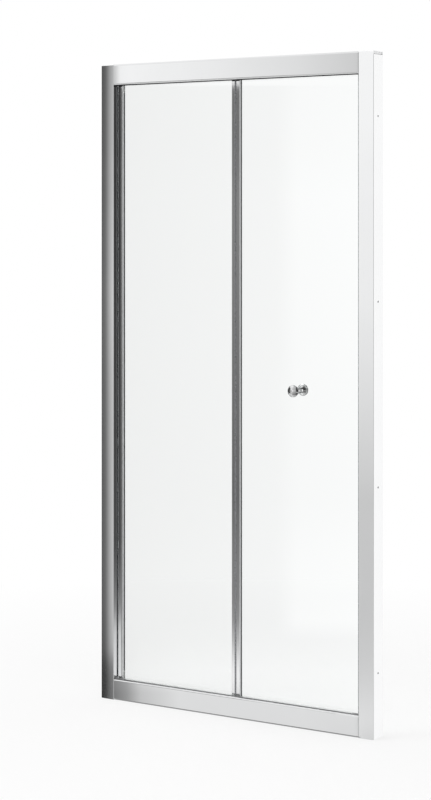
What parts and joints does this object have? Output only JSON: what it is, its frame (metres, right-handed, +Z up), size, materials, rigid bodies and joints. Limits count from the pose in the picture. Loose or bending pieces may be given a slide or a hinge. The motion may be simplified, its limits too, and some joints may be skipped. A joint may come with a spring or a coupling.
{
  "type": "bifold shower door",
  "caption": "Framed shower door for an alcove; a sprung pivot panel and a leading panel fold inwards on a rod hinge, guided by shoes in top and bottom tracks, with a turned knob on each side.",
  "frame": {"origin": "middle of the frame's foot, in the plane of the glass", "axes": "+X along the door away from the pivot, +Y into the shower, +Z up"},
  "size_m": [0.9, 0.072, 1.85],
  "materials": {
    "bright_aluminium": "bright polished",
    "mill_aluminium": "mill",
    "end_cap_plastic": "satin silver",
    "chrome": "polished",
    "glass": "clear",
    "clear_pvc": "clear",
    "dark_rubber": "matt",
    "grey_rubber": "matt",
    "nylon": "smooth",
    "steel": "satin"
  },
  "bodies": {
    "frame": {"left_wall_channel": "mill_aluminium", "right_wall_channel": "mill_aluminium", "left_jamb": "bright_aluminium", "right_jamb": "bright_aluminium", "left_jamb_cap": "end_cap_plastic", "right_jamb_cap": "end_cap_plastic", "top_rail": "bright_aluminium", "bottom_rail": "bright_aluminium", "top_rail_bead_seal": "dark_rubber", "bottom_rail_bead_seal": "dark_rubber", "pivot_side_seal": "clear_pvc", "strike_strip": "nylon", "corner_screws": "steel", "jamb_screws": "steel", "jamb_screw_caps": "chrome", "top_pivot_bearing": "nylon", "bottom_pivot_bearing": "nylon", "open_stop": "dark_rubber", "track_screws": "steel"},
    "pivot_panel": {"left_glass": "glass", "pivot_stile": "bright_aluminium", "pivot_stile_gasket": "grey_rubber", "left_hinge_stile": "bright_aluminium", "left_hinge_gasket": "grey_rubber", "top_pivot_plug": "nylon", "bottom_pivot_plug": "nylon", "bottom_pivot_pin": "steel", "thrust_washer": "nylon", "hinge_rod": "steel", "upper_left_knuckle": "steel", "lower_left_knuckle": "steel", "left_wiper_seal": "clear_pvc", "pivot_spring": "steel"},
    "top_pivot_pin": {"top_pivot_pin": "steel"},
    "leading_panel": {"right_glass": "glass", "right_hinge_stile": "bright_aluminium", "right_hinge_gasket": "grey_rubber", "upper_right_knuckle": "steel", "lower_right_knuckle": "steel", "leading_edge_seal": "clear_pvc", "right_wiper_seal": "clear_pvc", "outer_knob": "chrome", "inner_knob": "chrome", "knob_stud": "steel", "knob_bush": "nylon", "knob_washers": "clear_pvc", "top_guide_bracket": "chrome", "bottom_guide_bracket": "chrome", "guide_bracket_screws": "steel", "top_guide_pin": "steel", "bottom_guide_pin": "steel"},
    "top_guide_shoe": {"top_guide_shoe": "nylon"},
    "bottom_guide_shoe": {"bottom_guide_shoe": "nylon"}
  },
  "joints": [
    {"name": "door_fold", "type": "hinge", "parent": "frame", "child": "pivot_panel", "pos_m": [-0.3925, 0, 0], "axis": [0, 0, 1], "range_deg": [0, 85]},
    {"name": "centre_hinge", "type": "hinge", "parent": "pivot_panel", "child": "leading_panel", "pos_m": [0.00225, -0.01, 0], "axis": [0, 0, 1], "range_deg": [-170, 0]},
    {"name": "bottom_guide_turn", "type": "hinge", "parent": "leading_panel", "child": "bottom_guide_shoe", "pos_m": [0.397, 0, 0], "axis": [0, 0, 1], "range_deg": [0, 85]},
    {"name": "top_guide_turn", "type": "hinge", "parent": "leading_panel", "child": "top_guide_shoe", "pos_m": [0.397, 0, 0], "axis": [0, 0, 1], "range_deg": [0, 85]},
    {"name": "top_pin_slide", "type": "slide", "parent": "pivot_panel", "child": "top_pivot_pin", "axis": [0, 0, 1], "range_m": [-0.012, 0], "stiffness_N_per_m": 300, "springref_m": 0.004, "deforming": ["pivot_spring"]}
  ],
  "couplings": [
    {"joint": "centre_hinge", "follows": "door_fold", "ratio": -2},
    {"joint": "bottom_guide_turn", "follows": "door_fold", "ratio": 1},
    {"joint": "top_guide_turn", "follows": "door_fold", "ratio": 1}
  ]
}
